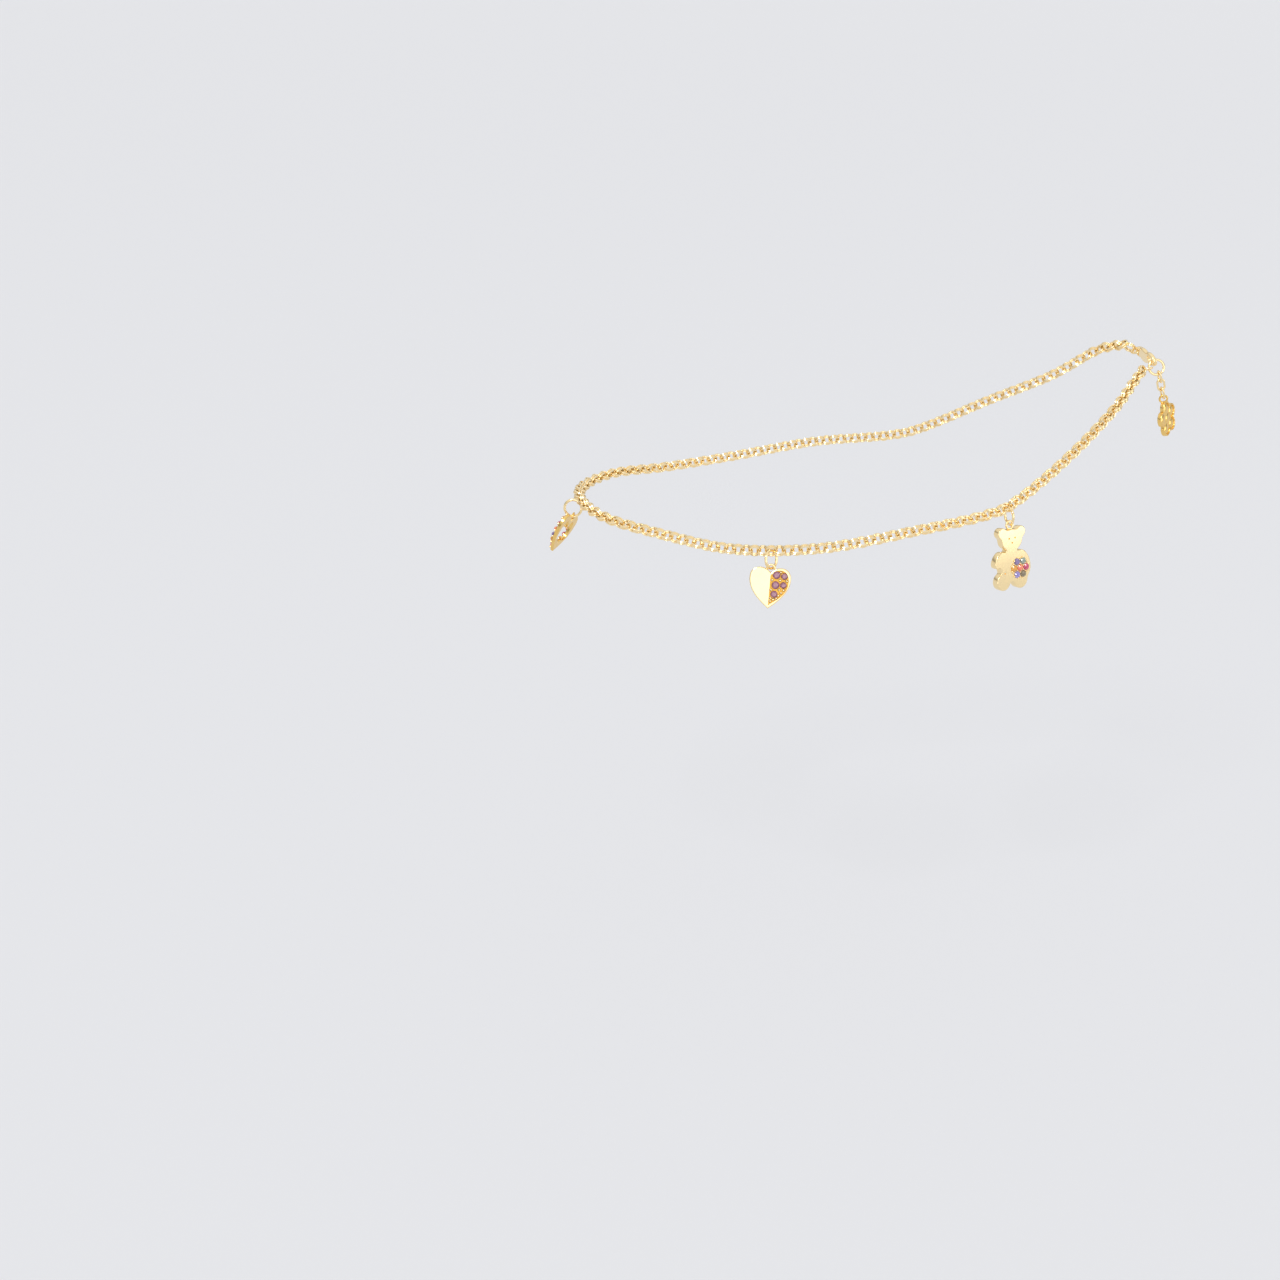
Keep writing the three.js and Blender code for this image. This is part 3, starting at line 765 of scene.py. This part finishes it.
def with_bail(shell, thickness, turn=0.0):
    """Adds the small fixed ring at a charm's top, half way through its thickness."""
    place = Matrix.Translation((0, 0, thickness / 2)) @ Matrix.Rotation(math.radians(turn), 4, "Y")
    return shell.add(*torus(BAIL_RADIUS, BAIL_WIRE, 40, 14), place)


def make_heart():
    """A polished heart, recessed on its right for the stones."""
    place = charm_place(HEART_HANG, HEART_THICK)
    outline = heart_outline(HEART_WIDTH, HEART_HEIGHT)
    shape = plate(outline, edged(HEART_THICK, HEART_EDGE))
    body = Shell().add(*shape).made("heart_plate", [GOLD])
    field = heart_outline(HEART_WIDTH, HEART_HEIGHT, HEART_RIM)
    right = field[len(field) // 2:] + field[:1]
    recess = plate(right, [(0, HEART_THICK - HEART_RECESS), (0, HEART_THICK + 1)])
    # The cutter's darker gold goes to the recess walls and bed as painted shade
    carved(body, [Shell().add(*recess).made("heart_cutter", [SHADED_BED_GOLD])])
    kept(stood(body, place), "polished_gold", "charm_heart")
    kept(with_bail(Shell(), HEART_THICK).made("heart_bail", [GOLD], place), "polished_gold")
    stones, beads = Shell(), Shell()
    for x, y, radius in HEART_STONES:
        seat = Matrix.Translation((x, y, HEART_THICK - HEART_STONE_SINK))
        stones.add(*gem(radius, HEART_STONE_DEPTH, HEART_STONE_DEPTH), seat)
    for x, y in HEART_BEADS:
        beads.add(*ball(Vector((x, y, HEART_THICK - HEART_BEAD_SINK)), HEART_BEAD))
    kept(stones.made("heart_stones", [MAUVE], place, flat=True), "heart_stones", "heart_paving")
    kept(beads.made("heart_beads", [GOLD], place), "polished_gold")


def make_open_heart():
    """A heart of flat wire with a channel all round it that holds the stones."""
    place = charm_place(FRONT_HANG, OPEN_THICK)
    outer = heart_outline(OPEN_WIDTH, OPEN_HEIGHT)
    inner = heart_outline(OPEN_WIDTH, OPEN_HEIGHT, OPEN_RIM)
    edge, seat = OPEN_EDGE, OPEN_THICK - OPEN_CHANNEL
    # Rows of a share of the way across the wire, and a height
    section = [(0, edge), (0, OPEN_THICK - edge), (0.09, OPEN_THICK), (0.2, OPEN_THICK), (0.24, seat),
               (0.76, seat), (0.8, OPEN_THICK), (0.91, OPEN_THICK), (1, OPEN_THICK - edge),
               (1, edge), (0.91, 0), (0.09, 0)]
    points = [Vector((*o.lerp(i, share), height)) for o, i in zip(outer, inner)
              for share, height in section]
    shell = Shell().add(points, loop_faces(len(outer), len(section), True))
    with_bail(shell, OPEN_THICK, OPEN_BAIL_TURN)
    kept(shell.made("open_heart", [DEEP_GOLD], place), "polished_gold", "charm_front")
    line = [o.lerp(i, 0.5) for o, i in zip(outer, inner)]
    lengths = [0.0]
    for a, b in zip(line, line[1:] + line[:1]):
        lengths.append(lengths[-1] + (b - a).length)

    def row_at(stop):
        """The row of the outline that is this far round the wire's middle line."""
        return next(k for k in range(len(line)) if lengths[k + 1] >= stop)

    stones, beads = Shell(), Shell()
    for i in range(OPEN_STONES):
        row = row_at(lengths[-1] * (i + 0.5) / OPEN_STONES)
        lifted = Matrix.Translation((*line[row], OPEN_THICK + OPEN_STONE_LIFT))
        stones.add(*gem(OPEN_STONE, OPEN_CROWN, OPEN_PAVILION), lifted, i % 4)
        row = row_at(lengths[-1] * i / OPEN_STONES)
        for share in OPEN_BEAD_SHARES:
            spot = outer[row].lerp(inner[row], share)
            beads.add(*ball(Vector((*spot, OPEN_THICK + OPEN_BEAD_LIFT)), OPEN_BEAD))
    mix = [PEACH, RUBY, AMBER, VIOLET]
    kept(stones.made("open_heart_stones", mix, place, flat=True), "front_stones", "front_paving")
    kept(beads.made("open_heart_beads", [GOLD], place), "polished_gold")


def bear_body():
    """The bear's plate with its eyes, nose and hip dot drilled."""
    outline = traced(BEAR_LOBES, 0.5, 0.09)
    body = Shell().add(*plate(outline, edged(BEAR_THICK, BEAR_EDGE))).made("bear_plate", [GOLD])
    profile = [(DRILL_TAPER, BEAR_THICK - DRILL_DEPTH), (0, BEAR_THICK - DRILL_WALL),
               (0, BEAR_THICK + 1)]
    cutters = []
    for x, y, radius in BEAR_DRILLS:
        hole = plate(ellipse(x, y, radius, radius, 8), profile)
        cutters.append(Shell().add(*hole).made(f"drill_{len(cutters)}", [GOLD]))
    return carved(body, cutters)


def make_bear():
    """A thick flat bear with a flower of seven stones: one in the middle and six round it."""
    place = charm_place(BEAR_HANG, BEAR_THICK)
    kept(stood(bear_body(), place), "polished_gold", "charm_bear")
    kept(with_bail(Shell(), BEAR_THICK).made("bear_bail", [GOLD], place), "polished_gold")
    beads = Shell()
    radius = BEAR_STONE + BEAR_STONE_SPREAD
    for i, (material, slot) in enumerate(FLOWER_STONES):
        angle = math.radians(60 * i)
        out = Vector((math.cos(angle), math.sin(angle)))
        centre = BEAR_FLOWER + out * (BEAR_FLOWER_RING if i else 0)
        seat = Matrix.Translation((*centre, BEAR_THICK + BEAR_STONE_LIFT))
        seat @= Matrix.Rotation(angle, 4, "Z")
        shape = Shell().add(*gem(radius, BEAR_STONE_DEPTH, BEAR_STONE_DEPTH), seat)
        piece = shape.made(f"bear_stone_{i + 1}", [material], place, flat=True)
        kept(piece, slot, f"bear_flower_{i + 1}")
        for reach, turn in PRONG_PLACES if i else ():
            way = angle + math.radians(turn)
            prong = BEAR_FLOWER + Vector((math.cos(way), math.sin(way))) * reach
            beads.add(*ball(Vector((*prong, BEAR_THICK + PRONG_LIFT)), PRONG))
    kept(beads.made("bear_beads", [GOLD], place), "polished_gold")


def clasp_body():
    """The clasp's plate with its mouth and its eye cut through."""
    outline = traced(CLASP_OVALS, 0.5, 0.08)
    body = Shell().add(*plate(outline, edged(CLASP_THICK, CLASP_EDGE))).made("clasp_body", [GOLD])
    profile = [(-CHAMFER, -1), (-CHAMFER, CHAMFER_START), (0, CHAMFER_END),
               (0, CLASP_THICK - CHAMFER_END), (-CHAMFER, CLASP_THICK - CHAMFER_START),
               (-CHAMFER, CLASP_THICK + 1)]
    cutters = []
    for x, y, rx, ry, _ in CLASP_HOLES:
        hole = Shell().add(*plate(ellipse(x, y, rx, ry, 20), profile))
        cutters.append(hole.made(f"clasp_cutter_{len(cutters)}", [GOLD]))
    return carved(body, cutters)


def make_heel():
    """The end ring, the chain's last link in it, and the clasp with its own ring."""
    heel = placed(HEEL, HEEL_RIGHT, HEEL_UP, HEEL_OUT)
    make_ring("heel_ring", "end_ring", END_RING_RADIUS, heel, END_RING_SEAM)
    link = Shell().add(*torus(LINK_RADIUS, LINK_WIRE, 48, 14))
    kept(link.made("end_link", [CHAIN_GOLD], last_link_place()), "chain_gold", "last_link")
    make_ring("clasp_loop", "clasp_ring", CLASP_RING_RADIUS, clasp_ring_place(), CLASP_RING_SEAM)
    centred = clasp_place() @ Matrix.Translation((0, 0, -CLASP_THICK / 2))
    kept(stood(clasp_body(), centred), "polished_gold", "clasp")


def make_tail():
    """The short tail of oval links, and the flower at its end."""
    down = Vector(TAIL_SLOPE).normalized()
    top = HEEL + spoke(TAIL_ANGLE) * END_RING_RADIUS
    top -= down * ((RING_WIRE + TAIL_WIRE) / 2 + LINK_GAP)
    pitch = TAIL_LENGTH - 2 * TAIL_WIRE - LINK_GAP
    sideways = spoke(TAIL_ANGLE + 90)
    sideways = (sideways - down * sideways.dot(down)).normalized()
    facing = sideways.cross(down)
    points, faces = torus((TAIL_WIDTH - TAIL_WIRE) / 2, TAIL_WIRE, 48, 14, 0, 3.75)
    stretch = (TAIL_LENGTH - TAIL_WIDTH) / 2
    for point in points:
        point.y += math.copysign(stretch, point.y)
    for i in range(TAIL_LINKS):
        centre = top + down * ((TAIL_LENGTH - TAIL_WIRE) / 2 + i * pitch)
        right = sideways if i % 2 else facing
        place = placed(centre, right, down, right.cross(down))
        link = Shell().add(points, faces).made(f"tail_ring_{i + 1}", [GOLD], place)
        kept(link, "polished_gold", f"tail_link_{i + 1}")
    bail_top = TAIL_LENGTH - TAIL_WIRE + (TAIL_LINKS - 1) * pitch
    bail_top -= (TAIL_WIRE + BAIL_WIRE) / 2 + LINK_GAP
    hole = top + down * (bail_top + BAIL_RADIUS)
    turn = math.radians(FLOWER_FACING)
    face = Vector((-math.sin(turn), math.cos(turn), 0))
    face = (face - down * face.dot(down)).normalized()
    hole -= face * (FLOWER_THICK / 2)
    make_flower(placed(hole, (-down).cross(face), -down, face))


def make_flower(place):
    """A flower of round petals with domed faces, and a stone in a cup at its middle."""
    ovals = [(0, FLOWER_CENTRE, FLOWER_MIDDLE, FLOWER_MIDDLE, 0)]
    for i in range(PETALS):
        angle = math.pi / 2 + 2 * math.pi * i / PETALS
        ovals.append((PETAL_REACH * math.cos(angle), FLOWER_CENTRE + PETAL_REACH * math.sin(angle),
                      PETAL, PETAL, 0))
    outline = traced(ovals, 0.12, 0.07)
    shell = with_bail(Shell().add(*plate(outline, FLOWER_PROFILE)), FLOWER_THICK, FLOWER_BAIL_TURN)
    flattened = Matrix.Diagonal((1.0, 1.0, DOME_FLATNESS, 1))
    for x, y, *_ in ovals:
        dome = Matrix.Translation((x, y, FLOWER_THICK / 2)) @ flattened
        shell.add(*ball(Vector((0, 0, 0)), DOME_RADIUS, 28, 14), dome)
    middle = Matrix.Translation((0, FLOWER_CENTRE, FLOWER_THICK - CUP_SINK))
    shell.add(*torus(CUP_RADIUS, CUP_WIRE, 36, 10), middle)
    kept(shell.made("flower_plate", [DEEP_GOLD], place), "polished_gold", "charm_flower")
    seat = Matrix.Translation((0, FLOWER_CENTRE, FLOWER_THICK + FLOWER_STONE_LIFT))
    jewel = Shell().add(*gem(FLOWER_STONE, FLOWER_CROWN, FLOWER_PAVILION), seat)
    kept(jewel.made("flower_gem", [BLUSH], place, flat=True), "stone_blush", "flower_stone")


# ---------------------------------------------------------------------------------------------
# Floor, light and camera

def make_stage():
    """A pale, slightly clouded floor."""
    size, height = FLOOR_REACH, CAD_BOX[0][2] - FLOOR_DROP
    mesh = bpy.data.meshes.new("floor")
    corners = [(-size, -size, height), (size, -size, height), (size, size, height),
               (-size, size, height)]
    mesh.from_pydata(corners, [], [(0, 1, 2, 3)])
    material, tree, shader = shader_of("floor_paint")
    shader.inputs["Roughness"].default_value = 0.7
    noise = tree.nodes.new("ShaderNodeTexNoise")
    noise.inputs["Scale"].default_value = 3.0
    link_colours(tree, shader, noise.outputs["Fac"], 0xE4E5E9, 0xE9EAED)
    mesh.materials.append(material)
    floor = bpy.data.objects.new("floor", mesh)
    bpy.context.collection.objects.link(floor)


def jewellery_only():
    """All the meshes but the floor, which the panels leave alone so that it stays even."""
    group = bpy.data.collections.new("jewellery")
    for piece in bpy.data.objects:
        if piece.type == "MESH" and piece.name != "floor":
            group.objects.link(piece)
    return group


def area_light(name, place, size, power):
    """A round panel that faces the anklet's middle and lights only the anklet."""
    data = bpy.data.lights.new(name, "AREA")
    data.shape = "DISK"
    data.size = size
    data.energy = power
    light = bpy.data.objects.new(name, data)
    light.location = place
    light.rotation_euler = (-Vector(place)).to_track_quat("-Z", "Y").to_euler()
    light.light_linking.receiver_collection = jewellery_only()
    bpy.context.collection.objects.link(light)


def make_world():
    """A white tent, brightest overhead, with a dim band above a pale horizon."""
    world = bpy.data.worlds.new("studio")
    bpy.context.scene.world = world
    world.use_nodes = True
    tree = world.node_tree
    place = tree.nodes.new("ShaderNodeTexCoord")
    split = tree.nodes.new("ShaderNodeSeparateXYZ")
    ramp = tree.nodes.new("ShaderNodeValToRGB")
    tree.links.new(place.outputs["Generated"], split.inputs["Vector"])
    tree.links.new(split.outputs["Z"], ramp.inputs["Fac"])
    tree.links.new(ramp.outputs["Color"], tree.nodes["Background"].inputs["Color"])
    stops = ramp.color_ramp.elements
    stops[0].position, stops[0].color = 0.09, (0.76, 0.77, 0.8, 1)
    stops[1].position, stops[1].color = 1.0, (1.0, 1.0, 1.0, 1)
    for height, glow in ((0.2, 0.3), (0.45, 0.86)):
        stops.new(height).color = (glow, glow, glow, 1)
    tree.nodes["Background"].inputs["Strength"].default_value = SKY_STRENGTH


def make_lights():
    """The tent, a soft-edged sun and two panels that the gold and stones reflect."""
    make_world()
    sun = bpy.data.lights.new("key", "SUN")
    sun.energy = SUN_STRENGTH
    sun.angle = math.radians(SUN_WIDTH)
    light = bpy.data.objects.new("key", sun)
    light.rotation_euler = Vector(SUN_FROM).to_track_quat("Z", "Y").to_euler()
    bpy.context.collection.objects.link(light)
    for name, (place, size, power) in PANELS.items():
        area_light(name, place, size, power)
    bpy.context.scene.view_settings.view_transform = "Standard"


def make_camera():
    """The camera, level from side to side."""
    azimuth, elevation = math.radians(CAMERA_AZIMUTH), math.radians(CAMERA_ELEVATION)
    back = Vector((math.sin(azimuth) * math.cos(elevation),
                   -math.cos(azimuth) * math.cos(elevation), math.sin(elevation)))
    right = UP.cross(back).normalized()
    place = placed(Vector(CAMERA_PLACE) * MM, right, back.cross(right), back)
    data = bpy.data.cameras.new("camera")
    data.sensor_width = CAMERA_SENSOR
    data.lens = CAMERA_LENS
    data.clip_start = CAMERA_NEAR
    camera = bpy.data.objects.new("camera", data)
    camera.matrix_world = place
    bpy.context.collection.objects.link(camera)
    bpy.context.scene.camera = camera


make_camera()
make_chain()
for charm, hang in (("front", FRONT_HANG), ("heart", HEART_HANG), ("bear", BEAR_HANG)):
    make_ring(f"{charm}_ring", f"jump_ring_{charm}", JUMP_RING_RADIUS, ring_place(hang), JUMP_RING_SEAM)
make_heart()
make_open_heart()
make_bear()
make_heel()
make_tail()
make_stage()
make_lights()
